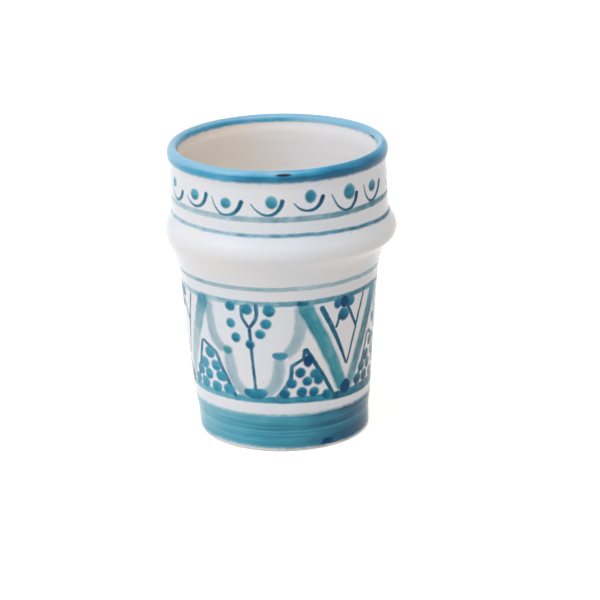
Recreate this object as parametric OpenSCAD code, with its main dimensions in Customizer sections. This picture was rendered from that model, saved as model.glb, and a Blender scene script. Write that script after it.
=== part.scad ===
// Hand-thrown ceramic cup with a ringed shoulder, white glaze and brushed blue-green decoration.
// Millimetres, +Z up. The origin is the centre of the foot, on the surface that the cup stands on.
// The front, where one painted arch is centred, faces -Y.

/* [Profile] */
// Height of the cup, to the top of the painted lip; a taller cup has a longer taper
cup_h = 100; // [95:1:130]
// Widest diameter of the lip bead
lip_d = 74; // [72:0.5:80]
// Diameter of the collar where it meets the lip bead
collar_top_d = 72.4; // [69:0.2:73]
// Diameter of the collar where it meets the shoulder ring
collar_base_d = 73; // [70:0.2:75]
// Diameter over the crest of the shoulder ring
ring_d = 78.2; // [75:0.2:84]
// Diameter of the waist, at the top of the straight taper
waist_d = 67.2; // [64:0.2:70]
// Diameter at the bottom of the straight taper
taper_base_d = 60.4; // [56:0.2:64]
// Diameter of the drawn-in ankle above the foot
ankle_d = 58.4; // [55:0.2:59]
// Diameter of the foot
foot_d = 58.8; // [56:0.2:62]
// Height of the foot of the straight taper
taper_base_z = 14; // [12:0.5:16]
// Height of the collar, with the lip
collar_h = 20.5; // [18:0.5:22]
// Drop from the bottom of the collar to the crest of the shoulder ring
ring_drop = 7.9; // [6.5:0.1:10.5]
// Height of the flare from the waist to the crest of the shoulder ring
flare_h = 16.1; // [13.6:0.1:19.6]

/* [Wall] */
// Thickness of the wall in the collar and the waist
wall_t = 3.4; // [3:0.1:5]
// Thickness of the wall at the crest of the shoulder ring
ring_wall_t = 4.9; // [4:0.1:6]
// Thickness of the wall at the bottom of the taper
base_wall_t = 4.7; // [4:0.1:6]
// Height of the inside floor above the table
floor_z = 6.5; // [5:0.5:10]
// Inside radius between the wall and the floor
floor_corner_r = 9; // [5:0.5:14]
// Depth of the hollow turned under the base
base_hollow = 1.6; // [0.8:0.1:2.5]
// Width of the foot ring that the cup stands on
foot_ring_w = 6.4; // [4:0.2:9]
// Bevel on the outer edge of the foot ring
foot_bevel = 0.4; // [0.3:0.1:1.2]

/* [Glaze] */
// Thickness of the white glaze coat
glaze_t = 0.5; // [0.3:0.05:0.8]
// Thickness of the brushed colour
paint_t = 0.16; // [0.1:0.02:0.3]
// Height of the bare clay below the glaze line
bare_foot_h = 1; // [0.8:0.1:2.5]

/* [Painted bands] */
// Depth of the rim band on the outside
rim_band_out = 4.2; // [3:0.1:6]
// Depth of the rim band on the inside
rim_band_in = 2.4; // [1.6:0.1:4]
// Height of the collar line, as a share of the collar's height
collar_line_share = 0.205; // [0.16:0.005:0.28]
// Width of the collar line
collar_line_w = 2.2; // [0.8:0.1:2.6]
// Drop from the bottom of the collar to the middle of the shoulder line
shoulder_line_drop = 1.3; // [0.5:0.1:2]
// Width of the shoulder line
shoulder_line_w = 1.5; // [0.6:0.1:2]
// Height of the middle of the waist line above the waist
waist_line_rise = 3.7; // [2.5:0.1:5.5]
// Width of the waist line
waist_line_w = 1.6; // [0.6:0.1:2]
// Drop from the waist to the middle of the line above the panel
panel_top_drop = 1.9; // [1.5:0.1:5.5]
// Width of the line above the panel
panel_top_w = 1.9; // [0.8:0.1:2.4]
// Height of the middle of the line below the panel
panel_bottom_z = 18.5; // [17:0.1:22]
// Width of the line below the panel
panel_bottom_w = 2.8; // [1:0.1:3.4]
// Height of the top of the foot band
foot_band_top = 13.6; // [10:0.1:14]

/* [Garland] */
// Number of scallops around the collar
garland_n = 16; // [12:1:18]
// Angle of the first scallop from the front
garland_start = 11.7; // [0:0.1:30]
// Outer radius of a scallop stroke
scallop_r = 5.6; // [4:0.1:6]
// Widest part of a scallop stroke
scallop_w = 1.3; // [0.6:0.1:1.6]
// Depth of a scallop below its two ends
scallop_depth = 4; // [3:0.1:4.6]
// Diameter of the dot in a scallop
garland_dot_d = 4.2; // [2:0.1:4.6]

/* [Panel motifs] */
// Number of arches around the cup
arch_n = 3; // [3:1:4]
// Width of a chevron stripe at its top
stripe_top_w = 5.6; // [3:0.1:6.5]
// Width of a chevron stripe at its foot
stripe_foot_w = 4; // [2:0.1:5]
// Diameter of the drop where two stripes meet
drop_d = 4.4; // [3:0.1:5]
// Width of the pale strokes of an arch
lobe_w = 3.5; // [2:0.1:4]
// Width of the fine strokes: stems, inner chevrons and outlines
fine_w = 1.3; // [0.6:0.1:1.6]
// Width of the thinnest strokes, in the lozenge
thin_w = 1; // [0.5:0.1:1.2]
// Diameter of a berry on a sprig
berry_d = 3.6; // [2.4:0.1:4]
// Diameter of a dot in a dotted net
net_dot_d = 3.4; // [2.2:0.1:3.6]
// Diameter of a petal dot of the flower
petal_d = 3.3; // [2:0.1:3.6]

/* [Hidden] */
$fn = 96;

clay_colour = "#d2c2ae";
glaze_colour = "#ece8e4";
rim_colour = "#3f8fb4";
teal_colour = "#4a9aaa";
blue_colour = "#2f7fa0";
wash_colour = "#a9c1cc";

// Derived heights, from the lip down to the top of the taper
crown_z = cup_h - paint_t;
lip_bead_drop = 2.5;
lip_drop = 6.4;
lip_z = crown_z - lip_bead_drop;
collar_top_z = crown_z - lip_drop;
collar_base_z = cup_h - collar_h;
collar_line_z = collar_base_z + collar_h * collar_line_share;
shoulder_line_z = collar_base_z - shoulder_line_drop;
ring_z = collar_base_z - ring_drop;
waist_z = ring_z - flare_h;
waist_line_z = waist_z + waist_line_rise;
panel_top_z = waist_z - panel_top_drop;
lip_wall_t = 3.7;
crown_r = lip_d / 2 - lip_wall_t / 2;
ankle_z = (bare_foot_h + taper_base_z) * 0.42;
ring_flank_z = waist_z + (ring_z - waist_z) * 0.6;
ring_flank_r = waist_d / 2 + (ring_d - waist_d) / 2 * 0.44;
taper_heading = atan2(waist_z - taper_base_z, (waist_d - taper_base_d) / 2);
collar_heading = atan2(collar_top_z - collar_base_z, (collar_top_d - collar_base_d) / 2);

// Profile stations of the glazed surface: radius, height and heading in degrees, where 90 is straight up.
outer_stations = [
    [foot_d / 2, bare_foot_h, 90],
    [ankle_d / 2, ankle_z, 88],
    [taper_base_d / 2, taper_base_z, taper_heading],
    [waist_d / 2, waist_z, taper_heading],
    [ring_flank_r, ring_flank_z, 68],
    [ring_d / 2, ring_z, 90],
    [collar_base_d / 2, collar_base_z, collar_heading],
    [collar_top_d / 2, collar_top_z, collar_heading],
    [lip_d / 2, lip_z, 90],
    [crown_r, crown_z, 180]
];
inner_taper_r = taper_base_d / 2 - base_wall_t;
inner_waist_r = waist_d / 2 - wall_t;
inner_taper_heading = atan2(taper_base_z - waist_z, inner_taper_r - inner_waist_r);
floor_corner_z = floor_z + floor_corner_r;
floor_corner_wall_r = inner_taper_r
    + (floor_corner_z - taper_base_z) * (inner_waist_r - inner_taper_r) / (waist_z - taper_base_z);
inner_stations = [
    [crown_r, crown_z, 180],
    [lip_d / 2 - lip_wall_t, lip_z, 270],
    [collar_top_d / 2 - wall_t, collar_top_z, 270],
    [collar_base_d / 2 - wall_t, collar_base_z, 270],
    [ring_d / 2 - ring_wall_t, ring_z, 268],
    [inner_waist_r, waist_z, inner_taper_heading],
    [floor_corner_wall_r, floor_corner_z, inner_taper_heading],
    [floor_corner_wall_r - floor_corner_r, floor_z, 180],
    [0, floor_z, 180]
];

// Each span of the profile is a cubic curve whose handles lie along the two headings.
span_steps = 8;
handle_share = 0.37;
straight_limit = 0.6;
function heading(h) = [cos(h), sin(h)];
function point(s) = [s[0], s[1]];
function chord_angle(a, b) = atan2(b[1] - a[1], b[0] - a[0]);
function turn(a, b) = let(d = ((a - b) % 360 + 540) % 360 - 180) abs(d);
function is_straight(a, b) =
    turn(a[2], chord_angle(a, b)) < straight_limit && turn(b[2], chord_angle(a, b)) < straight_limit;
function handle(a, b) = norm(point(b) - point(a)) * handle_share;
function on_span(a, b, t) = let(
        p0 = point(a),
        p1 = p0 + handle(a, b) * heading(a[2]),
        p3 = point(b),
        p2 = p3 - handle(a, b) * heading(b[2]),
        s = 1 - t,
        at = s*s*s*p0 + 3*s*s*t*p1 + 3*s*t*t*p2 + t*t*t*p3,
        along = s*s*(p1 - p0) + 2*s*t*(p2 - p1) + t*t*(p3 - p2),
        tangent = along / norm(along)
    ) [at[0], at[1], tangent[1], -tangent[0]];
// A path is a list of radius, height and outward normal.
function path_of(stations) = [
    for (i = [0 : len(stations) - 2])
        let(a = stations[i], b = stations[i + 1], n = is_straight(a, b) ? 1 : span_steps)
        for (j = [0 : n - (i == len(stations) - 2 ? 0 : 1)]) on_span(a, b, j / n)
];
function lifted(path, d) = [for (p = path) [max(0, p[0] + d * p[2]), p[1] + d * p[3]]];
function reversed(list) = [for (i = [len(list) - 1 : -1 : 0]) list[i]];
function skin(path, d0, d1) = concat(lifted(path, d0), reversed(lifted(path, d1)));

outer_path = path_of(outer_stations);
inner_path = path_of(inner_stations);
reach = ring_d;

// Band of brushed colour on the outside, between two heights
module band(low, high) {
    rotate_extrude()
        intersection() {
            polygon(skin(outer_path, 0, paint_t));
            translate([0, low]) square([reach, high - low]);
        }
}

module line_band(middle, width) {
    band(middle - width / 2, middle + width / 2);
}

// Brush strokes on the wall: a flat drawing, x along the girth and y up, cut out of a thin skin of colour
panel_low = panel_bottom_z + panel_bottom_w / 2;
panel_high = panel_top_z - panel_top_w / 2;
half_pitch = 180 / arch_n;
function taper_r(z) = taper_base_d / 2
    + (waist_d - taper_base_d) / 2 * (z - taper_base_z) / (waist_z - taper_base_z);
function panel_angle(u) = u / 100 * half_pitch;
function panel_z(v) = panel_low + v / 100 * (panel_high - panel_low);

// The drawing is raised radially, from a little inside the wall's surface to a little outside it.
wall_margin = 1;
module on_wall(angle, low_r, high_r) {
    rotate([0, 0, angle])
        rotate([90, 0, 0])
            translate([0, 0, low_r - wall_margin])
                linear_extrude(height = high_r - low_r + 2 * wall_margin)
                    children();
}

module panel_skin() {
    band(panel_low, panel_high);
}

module each_arch() {
    for (k = [0 : arch_n - 1]) rotate([0, 0, 2 * half_pitch * k]) children();
}

// A panel point is [u, v]: percent of the half pitch from the arch's axis, and percent of the panel's height.
function flat_point(p, axis) = let(z = panel_z(p[1])) [taper_r(z) * sin(panel_angle(p[0]) - axis), z];
function mid_angle(points) = panel_angle((min([for (p = points) p[0]]) + max([for (p = points) p[0]])) / 2);

// Smooth curve through hand-placed points
function knot(points, i) = points[max(0, min(len(points) - 1, i))];
function through(points, i, t) = let(
        a = knot(points, i - 1), b = knot(points, i), c = knot(points, i + 1), d = knot(points, i + 2)
    ) 0.5 * (2*b + t*(c - a) + t*t*(2*a - 5*b + 4*c - d) + t*t*t*(3*b - a - 3*c + d));
function smooth(points, n) = [
    for (i = [0 : len(points) - 2])
        for (j = [0 : n - (i == len(points) - 2 ? 0 : 1)]) through(points, i, j / n)
];

// Outline of a brush stroke along a line of points, with round ends
cap_steps = 4;
function side(line, i) = let(
        d = line[min(len(line) - 1, i + 1)] - line[max(0, i - 1)]
    ) [-d[1], d[0]] / norm(d);
function width_at(line, i, w0, w1) = (w0 + (w1 - w0) * i / (len(line) - 1)) / 2;
function cap(line, i, w, sign) = let(n = side(line, i), f = [n[1], -n[0]] * sign)
    [for (k = [1 : cap_steps - 1]) let(a = 180 * k / cap_steps) line[i] + w * (cos(a) * n * sign + sin(a) * f)];
function stroke_outline(line, w0, w1) = let(last = len(line) - 1) concat(
    [for (i = [0 : last]) line[i] + side(line, i) * width_at(line, i, w0, w1)],
    cap(line, last, w1 / 2, 1),
    [for (i = [last : -1 : 0]) line[i] - side(line, i) * width_at(line, i, w0, w1)],
    cap(line, 0, w0 / 2, -1)
);

module stroke(points, w0, w1, steps = 1) {
    axis = mid_angle(points);
    flat = [for (p = points) flat_point(p, axis)];
    depths = [for (p = points) taper_r(panel_z(p[1])) * cos(panel_angle(p[0]) - axis)];
    on_wall(axis, min(depths), max(depths))
        polygon(stroke_outline(steps > 1 ? smooth(flat, steps) : flat, w0, w1));
}

module dot(p, d) {
    r = taper_r(panel_z(p[1]));
    on_wall(panel_angle(p[0]), r, r) translate([0, panel_z(p[1])]) circle(d = d);
}

// Hand-placed points of one arch and of the chevron to its right
stripe_right = [[50, 104], [99, -2]];
stripe_left = [[-55, 104], [-101, -2]];
drop = [100, 3];
inner_left = [[69, 97], [100.5, 31]];
inner_right = [[100.5, 31], [122, 97]];
petals = [[86.5, 95], [94.5, 98], [102, 95], [94.5, 82]];
lozenge_left = [[93, 92], [86, 71]];
lozenge_right = [[97.5, 91], [111.5, 69.3]];
lobe_left_high = [[-49, 99], [-48, 82], [-45, 67], [-40, 56], [-32, 50]];
lobe_left_low = [[-27, 43], [-25.5, 31], [-20, 18], [-13, 9], [-7, 4]];
lobe_right_high = [[47, 99], [47.5, 81], [46, 67], [41, 54], [31.5, 46]];
lobe_right_low = [[25.5, 41], [26, 31], [22.5, 18], [16.5, 9], [9.5, 4]];
cusp_left = [[-30.5, 49], [-27, 49.5]];
cusp_right = [[21.5, 47.5], [32, 46.5]];
arch_foot = [[-7, 5], [0.5, 4.5], [8, 5]];
stem = [[1.3, 8], [-1, 38], [-2.7, 60], [-2.7, 73]];
branch_left = [[-2.7, 73], [-8, 83], [-10, 103]];
branch_right = [[-2.7, 73], [3.6, 84], [5.4, 103]];
berries = [[-22, 96], [-22, 79], [-17.3, 64], [-4, 94], [17.5, 95], [14, 81], [8.3, 69.5], [-2.7, 59]];
net_left_inner = [[-64, 51], [-45, 41], [-37, 25], [-22.5, 2]];
net_left_outer = [[-64, 51], [-86, 2]];
net_right_inner = [[52, 52], [48.5, 41], [39, 33], [37.5, 21], [33.5, 12], [22.5, -2]];
net_right_outer = [[52, 52], [83.5, 1]];
net_left_dots = [
    [-55, 39], [-48, 28], [-63, 29], [-41, 17], [-56, 17], [-71, 17], [-32, 5], [-47, 6], [-62, 6], [-76.5, 6]
];
net_right_dots = [
    [54.5, 40], [48, 27.5], [61, 26.5], [68, 16], [55, 16], [41, 17.5], [49, 5.5], [61.5, 5], [34, 5], [75, 5]
];
accent_w = 2.4;
arch_foot_w = 3.4;
lobe_steps = 3;
stem_steps = 3;

// Flat outlines that other strokes are cut back from
module drop_cut() { dot(drop, drop_d); }

module stripe_cut() {
    stroke(stripe_right, stripe_top_w, stripe_foot_w);
    stroke(stripe_left, stripe_top_w, stripe_foot_w);
}

module accent_cut() {
    stroke(cusp_left, accent_w, accent_w);
    stroke(cusp_right, accent_w, accent_w);
}

module arch_foot_cut() { stroke(arch_foot, arch_foot_w, arch_foot_w, 2); }

module berry_cut() { for (p = berries) dot(p, berry_d); }

module net_dot_cut() { for (p = concat(net_left_dots, net_right_dots)) dot(p, net_dot_d); }

module petal_cut() { for (p = petals) dot(p, petal_d); }

module inner_chevron_cut() {
    stroke(inner_left, fine_w, fine_w);
    stroke(inner_right, thin_w, thin_w);
}

// Fired clay, thrown and turned as one piece
module clay_body() {
    ring_out = foot_d / 2 - glaze_t - foot_bevel;
    ring_in = ring_out - foot_ring_w;
    color(clay_colour)
        rotate_extrude()
            polygon(concat(
                lifted(concat(outer_path, [for (i = [1 : len(inner_path) - 1]) inner_path[i]]), -glaze_t),
                [[0, base_hollow], [ring_in - base_hollow, base_hollow], [ring_in, 0]],
                [[ring_out, 0], [foot_d / 2 - glaze_t, foot_bevel]]
            ));
}

// White glaze inside, from the crown of the lip to the middle of the floor
module inside_glaze() {
    color(glaze_colour) rotate_extrude() polygon(skin(inner_path, -glaze_t, 0));
}

// White glaze outside, from the glaze line above the foot to the crown of the lip
module outside_glaze() {
    color(glaze_colour) rotate_extrude() polygon(skin(outer_path, -glaze_t, 0));
}

// Blue band brushed over the lip
module rim_band() {
    color(rim_colour)
        rotate_extrude()
            union() {
                intersection() {
                    polygon(skin(outer_path, 0, paint_t));
                    translate([crown_r, cup_h - rim_band_out]) square([reach, rim_band_out]);
                }
                intersection() {
                    polygon(skin(inner_path, 0, paint_t));
                    translate([0, cup_h - rim_band_in]) square([crown_r, rim_band_in]);
                }
            }
}

// Garland: scallops that swell from a thin start to a blunt end, with a dot over each
garland_low = collar_line_z + collar_line_w / 2;
garland_high = cup_h - rim_band_out;
garland_seat = 0.34;
garland_mid = garland_low + garland_seat * (garland_high - garland_low);
scallop_drop = 3.5;
scallop_z = garland_mid + scallop_r - scallop_drop;
scallop_start_w = 0.45;
garland_dot_lift = 1.5;
garland_dot_z = garland_mid + garland_dot_lift;
garland_dot_shift = 0.8;

module garland_skin() {
    band(garland_low, garland_high);
}

module scallop() {
    inner_r = scallop_r - (scallop_w + scallop_start_w) / 2;
    lean = (scallop_w - scallop_start_w) / 2;
    difference() {
        translate([0, scallop_z]) circle(r = scallop_r);
        translate([-lean, scallop_z + lean / 2]) circle(r = inner_r);
        translate([-scallop_r - 1, scallop_z - scallop_r + scallop_depth])
            square(2 * scallop_r + 2);
    }
}

module garland() {
    low_r = min(collar_top_d, collar_base_d) / 2;
    high_r = max(collar_top_d, collar_base_d) / 2;
    for (i = [0 : garland_n - 1])
        on_wall(garland_start + i * 360 / garland_n, low_r, high_r) children();
}

module garland_dot() {
    translate([garland_dot_shift, garland_dot_z]) circle(d = garland_dot_d);
}

module garland_scallops() {
    color(blue_colour)
        intersection() {
            garland_skin();
            garland() difference() {
                scallop();
                garland_dot();
            }
        }
}

module garland_dots() {
    color(teal_colour)
        intersection() {
            garland_skin();
            garland() garland_dot();
        }
}

// Lines drawn round the cup on the wheel
module collar_line() { color(teal_colour) line_band(collar_line_z, collar_line_w); }

module shoulder_line() { color(teal_colour) line_band(shoulder_line_z, shoulder_line_w); }

module waist_line() { color(teal_colour) line_band(waist_line_z, waist_line_w); }

module panel_top_line() { color(blue_colour) line_band(panel_top_z, panel_top_w); }

module panel_bottom_line() { color(blue_colour) line_band(panel_bottom_z, panel_bottom_w); }

module foot_band() { color(teal_colour) band(bare_foot_h, foot_band_top); }

// Chevron between two arches
module chevron_stripes() {
    color(teal_colour)
        intersection() {
            panel_skin();
            difference() {
                each_arch() stripe_cut();
                each_arch() drop_cut();
            }
        }
}

module chevron_drops() {
    color(blue_colour)
        intersection() {
            panel_skin();
            each_arch() drop_cut();
        }
}

module inner_chevrons() {
    color(blue_colour)
        intersection() {
            panel_skin();
            each_arch() inner_chevron_cut();
        }
}

module lozenge_lines() {
    color(blue_colour)
        intersection() {
            panel_skin();
            difference() {
                each_arch() {
                    stroke(lozenge_left, thin_w, thin_w);
                    stroke(lozenge_right, thin_w, thin_w);
                }
                each_arch() petal_cut();
                each_arch() inner_chevron_cut();
            }
        }
}

module flower_dots() {
    color(blue_colour)
        intersection() {
            panel_skin();
            each_arch() petal_cut();
        }
}

// Arch: four pale strokes, with an accent on each cusp and a foot
module arch_lobes() {
    color(wash_colour)
        intersection() {
            panel_skin();
            difference() {
                each_arch()
                    for (points = [lobe_left_high, lobe_left_low, lobe_right_high, lobe_right_low])
                        stroke(points, lobe_w, lobe_w, lobe_steps);
                each_arch() stripe_cut();
                each_arch() accent_cut();
                each_arch() arch_foot_cut();
            }
        }
}

module cusp_accents() {
    color(teal_colour)
        intersection() {
            panel_skin();
            each_arch() accent_cut();
        }
}

module arch_feet() {
    color(teal_colour)
        intersection() {
            panel_skin();
            each_arch() arch_foot_cut();
        }
}

// Sprig of berries inside the arch
module sprig_stems() {
    color(blue_colour)
        intersection() {
            panel_skin();
            difference() {
                each_arch() {
                    stroke(stem, fine_w, fine_w, stem_steps);
                    stroke(branch_left, fine_w, fine_w, stem_steps);
                    stroke(branch_right, fine_w, fine_w, stem_steps);
                }
                each_arch() berry_cut();
                each_arch() arch_foot_cut();
            }
        }
}

module sprig_berries() {
    color(teal_colour)
        intersection() {
            panel_skin();
            each_arch() berry_cut();
        }
}

// Dotted nets that fill the corners between the arch and the chevrons
module net_outlines() {
    color(blue_colour)
        intersection() {
            panel_skin();
            difference() {
                each_arch()
                    for (points = [net_left_inner, net_left_outer, net_right_inner, net_right_outer])
                        stroke(points, fine_w, fine_w);
                each_arch() net_dot_cut();
            }
        }
}

module net_dots() {
    color(teal_colour)
        intersection() {
            panel_skin();
            each_arch() net_dot_cut();
        }
}

clay_body();
inside_glaze();
outside_glaze();
rim_band();
garland_scallops();
garland_dots();
collar_line();
shoulder_line();
waist_line();
panel_top_line();
panel_bottom_line();
foot_band();
chevron_stripes();
chevron_drops();
inner_chevrons();
lozenge_lines();
flower_dots();
arch_lobes();
cusp_accents();
arch_feet();
sprig_stems();
sprig_berries();
net_outlines();
net_dots();
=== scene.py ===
# %% [markdown]
# # A painted cup, from the potter's wheel to the brush
# The cup is one piece of fired clay. A potter threw and turned it, dipped it in white tin glaze, and a
# painter then drew on the raw glaze with brushes loaded with copper and cobalt colours.
# The lesson follows that order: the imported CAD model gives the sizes, the wheel gives the form, and
# brush strokes that lie on the wall give the pattern.

import math
import random

import bpy
from mathutils import Matrix, Vector


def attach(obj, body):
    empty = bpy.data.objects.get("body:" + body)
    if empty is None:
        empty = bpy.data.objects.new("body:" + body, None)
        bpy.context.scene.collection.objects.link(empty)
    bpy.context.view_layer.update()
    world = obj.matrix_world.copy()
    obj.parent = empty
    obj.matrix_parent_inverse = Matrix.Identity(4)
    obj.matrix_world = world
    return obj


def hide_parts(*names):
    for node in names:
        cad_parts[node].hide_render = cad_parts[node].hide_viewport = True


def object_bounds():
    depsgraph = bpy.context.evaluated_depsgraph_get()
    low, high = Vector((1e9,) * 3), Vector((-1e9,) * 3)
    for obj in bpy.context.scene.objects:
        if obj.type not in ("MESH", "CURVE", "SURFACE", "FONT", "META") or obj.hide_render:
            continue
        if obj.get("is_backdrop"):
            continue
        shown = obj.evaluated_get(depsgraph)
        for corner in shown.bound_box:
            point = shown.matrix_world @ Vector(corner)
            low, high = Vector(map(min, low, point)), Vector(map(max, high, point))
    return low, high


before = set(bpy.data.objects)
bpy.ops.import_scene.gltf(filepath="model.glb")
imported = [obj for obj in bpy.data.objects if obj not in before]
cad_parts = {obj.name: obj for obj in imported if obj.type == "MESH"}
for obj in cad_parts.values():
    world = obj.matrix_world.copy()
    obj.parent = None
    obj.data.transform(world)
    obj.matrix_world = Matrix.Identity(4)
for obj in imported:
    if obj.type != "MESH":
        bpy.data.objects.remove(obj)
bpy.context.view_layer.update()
scene = bpy.context.scene
scene.view_settings.view_transform = "Standard"
MM = 0.001

# %% [markdown]
# ## Camera
# The photograph was taken from about 0.9 m with a long lens, a little above the lip. One painted arch
# faces -Y, and the camera stands 17 degrees to its right. The camera aims slightly beside the cup, as
# the photographer did, and is rolled by about a degree.

# %% Camera
CAMERA_TURN = 17.2
CAMERA_RISE = 18.47
CAMERA_ROLL = -1.3
CAMERA_DISTANCE = 0.9
CAMERA_LENS = 158.4
AIM_RIGHT = 6.5 * MM
AIM_DOWN = 5.6 * MM

turn = math.radians(CAMERA_TURN)
rise = math.radians(CAMERA_RISE)
middle = Vector((0, 0, 50 * MM))
back = Vector((math.sin(turn) * math.cos(rise), -math.cos(turn) * math.cos(rise), math.sin(rise)))
view_turn = back.to_track_quat("Z", "Y").to_matrix()
view_right = view_turn.col[0].copy()
view_up = view_turn.col[1].copy()

camera = bpy.data.objects.new("camera", bpy.data.cameras.new("camera"))
scene.collection.objects.link(camera)
camera.data.lens = CAMERA_LENS
camera.data.clip_start = 0.05
roll = Matrix.Rotation(math.radians(CAMERA_ROLL), 3, "Z")
camera.matrix_world = Matrix.Translation(
    middle + back * CAMERA_DISTANCE + view_right * AIM_RIGHT - view_up * AIM_DOWN
) @ (view_turn @ roll).to_4x4()
scene.camera = camera
print("camera at", [round(v, 3) for v in camera.location])

# %% [markdown]
# ## One helper for every node tree
# Node trees are built in the script. A single function adds a node, sets its settings and fills its
# inputs, either with plain values or with what another node gives. A node switches off the sockets that
# its settings don't need, so the function takes the first one that is on.

# %% Node helper and colours
# Kinds of node that come up most
MATH = "ShaderNodeMath"
VECTOR_MATH = "ShaderNodeVectorMath"
MAP_RANGE = "ShaderNodeMapRange"
NOISE = "ShaderNodeTexNoise"


def socket_on(sockets, name=None):
    return next(s for s in sockets if s.enabled and name in (None, s.name))


def add(tree, kind, inputs=(), operation=None, **settings):
    """Adds a node. Its inputs come by name in a dict, or in order in a list."""
    node = tree.nodes.new(kind)
    if operation:
        node.operation = operation
    for name, value in settings.items():
        setattr(node, name, value)
    for key, value in inputs.items() if isinstance(inputs, dict) else enumerate(inputs):
        socket = node.inputs[key] if isinstance(key, int) else socket_on(node.inputs, key)
        if isinstance(value, bpy.types.Node):
            value = socket_on(value.outputs)
        if isinstance(value, bpy.types.NodeSocket):
            tree.links.new(value, socket)
        else:
            socket.default_value = value
    return node


def linear(code):
    shares = [int(code[i : i + 2], 16) / 255 for i in (1, 3, 5)]
    curve = [s / 12.92 if s <= 0.04045 else ((s + 0.055) / 1.055) ** 2.4 for s in shares]
    return (*curve, 1.0)


def geometry_tree(name, sockets):
    tree = bpy.data.node_groups.new(name, "GeometryNodeTree")
    tree.interface.new_socket("Geometry", in_out="INPUT", socket_type="NodeSocketGeometry")
    tree.interface.new_socket("Geometry", in_out="OUTPUT", socket_type="NodeSocketGeometry")
    for label, kind in sockets.items():
        tree.interface.new_socket(label, in_out="INPUT", socket_type="NodeSocket" + kind)
    return tree


def from_axis(tree, place):
    """The level part of a place, and the heading from the axis to it."""
    level = add(tree, VECTOR_MATH, [place, (1, 1, 0)], "MULTIPLY")
    return level, add(tree, VECTOR_MATH, [level], "NORMALIZE")


def share_along(tree, place, heading, start, end, low=0.0, high=1.0, easing="LINEAR"):
    """A share that goes from low to high along a heading, between two distances in millimetres."""
    reach = add(tree, VECTOR_MATH, [place, heading], "DOT_PRODUCT")
    span = {"Value": reach, "From Min": start * MM, "From Max": end * MM, "To Min": low, "To Max": high}
    return add(tree, MAP_RANGE, span, interpolation_type=easing)


def finish_tree(tree, given, shape, crease):
    """Ends a tree: faces smooth up to a crease in degrees, real geometry and the material."""
    fold = add(tree, "GeometryNodeInputMeshEdgeAngle")
    soft = add(tree, "FunctionNodeCompare", [fold, math.radians(crease)], "LESS_THAN")
    smooth = add(
        tree, "GeometryNodeSetShadeSmooth", {"Geometry": shape, "Shade Smooth": soft}, domain="EDGE"
    )
    real = add(tree, "GeometryNodeRealizeInstances", {"Geometry": smooth})
    material = given["Material"]
    dressed = add(tree, "GeometryNodeSetMaterial", {"Geometry": real, "Material": material})
    add(tree, "NodeGroupOutput", {"Geometry": dressed})
    print(tree.name, "has", len(tree.nodes), "nodes")


print("helpers ready")

# %% [markdown]
# ## Profile
# A thrown pot is known by its profile. Each station below has a radius, a height and a heading in
# degrees, where 90 is straight up, and a cubic curve joins each pair, as in the CAD model. The path
# climbs the outside, crosses the lip and comes down the inside to the middle of the floor.

# %% Profile stations
CROWN_Z = 99.84
CROWN_R = 35.15
RING_Z = 71.6
GLAZE_T = 0.5
OUTSIDE = [
    (29.0, 0.6, 86),
    (29.2, 6.3, 88),
    (30.2, 14.0, 85.32),
    (33.6, 55.5, 85.32),
    (36.02, 65.16, 68),
    (39.1, RING_Z, 90),
    (36.5, 79.5, 91.23),
    (36.2, 93.44, 91.23),
    (37.0, 97.34, 90),
    (CROWN_R, CROWN_Z, 180),
]
INSIDE = [
    (CROWN_R, CROWN_Z, 180),
    (33.3, 97.34, 270),
    (32.8, 93.44, 270),
    (33.1, 79.5, 270),
    (34.2, RING_Z, 268),
    (30.2, 55.5, 263.54),
    (25.67, 15.5, 263.54),
    (16.67, 6.5, 180),
    (0.0, 6.5, 180),
]
HANDLE = 0.37
STATION_STEP = 0.8


def walk(stations):
    """Points along the profile, each with its outward normal, in millimetres."""
    path = []
    for (r0, z0, h0), (r1, z1, h1) in zip(stations, stations[1:]):
        start, end = Vector((r0, z0)), Vector((r1, z1))
        chord = (end - start).length
        leave = Vector((math.cos(math.radians(h0)), math.sin(math.radians(h0)))) * chord * HANDLE
        arrive = Vector((math.cos(math.radians(h1)), math.sin(math.radians(h1)))) * chord * HANDLE
        knots = (start, start + leave, end - arrive, end)
        steps = max(6, math.ceil(chord / STATION_STEP))
        last = (r1, z1) == stations[-1][:2]
        for i in range(steps + last):
            t = i / steps
            s = 1 - t
            at = s**3 * knots[0] + 3 * s * s * t * knots[1] + 3 * s * t * t * knots[2] + t**3 * knots[3]
            along = s * s * (knots[1] - knots[0]) + 2 * s * t * (knots[2] - knots[1])
            along = (along + t * t * (knots[3] - knots[2])).normalized()
            path.append((at, Vector((along.y, -along.x))))
    return path


def lifted(path, depth):
    return [(max(0.0, p.x + n.x * depth), p.y + n.y * depth) for p, n in path]


outside_path = walk(OUTSIDE)
inside_path = walk(INSIDE)
print("profile points:", len(outside_path), "outside and", len(inside_path), "inside")

# %% [markdown]
# ## The wheel, in Geometry Nodes
# A revolve is a profile swept round a circle, so Curve to Mesh does it, with a profile of radius and
# height. A hand-thrown cup is never perfect: the tree adds the spiral ridges of the potter's fingers, a
# slightly oval mouth, some unevenness, a lip and a ring that aren't quite level, and an axis that wanders
# by less than a millimetre. Every coat goes through this one tree, so the coats stay in contact.

# %% Wheel tree
wheel = geometry_tree(
    "thrown_on_wheel",
    {
        "Segments": "Int",
        "Ridge depth": "Float",
        "Ridge pitch": "Float",
        "Oval": "Float",
        "Unevenness": "Float",
        "Drift": "Float",
        "Drift heading": "Float",
        "Lip rise": "Float",
        "Ring sag": "Float",
        "Material": "Material",
    },
)
WHEEL_R = 30 * MM
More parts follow.
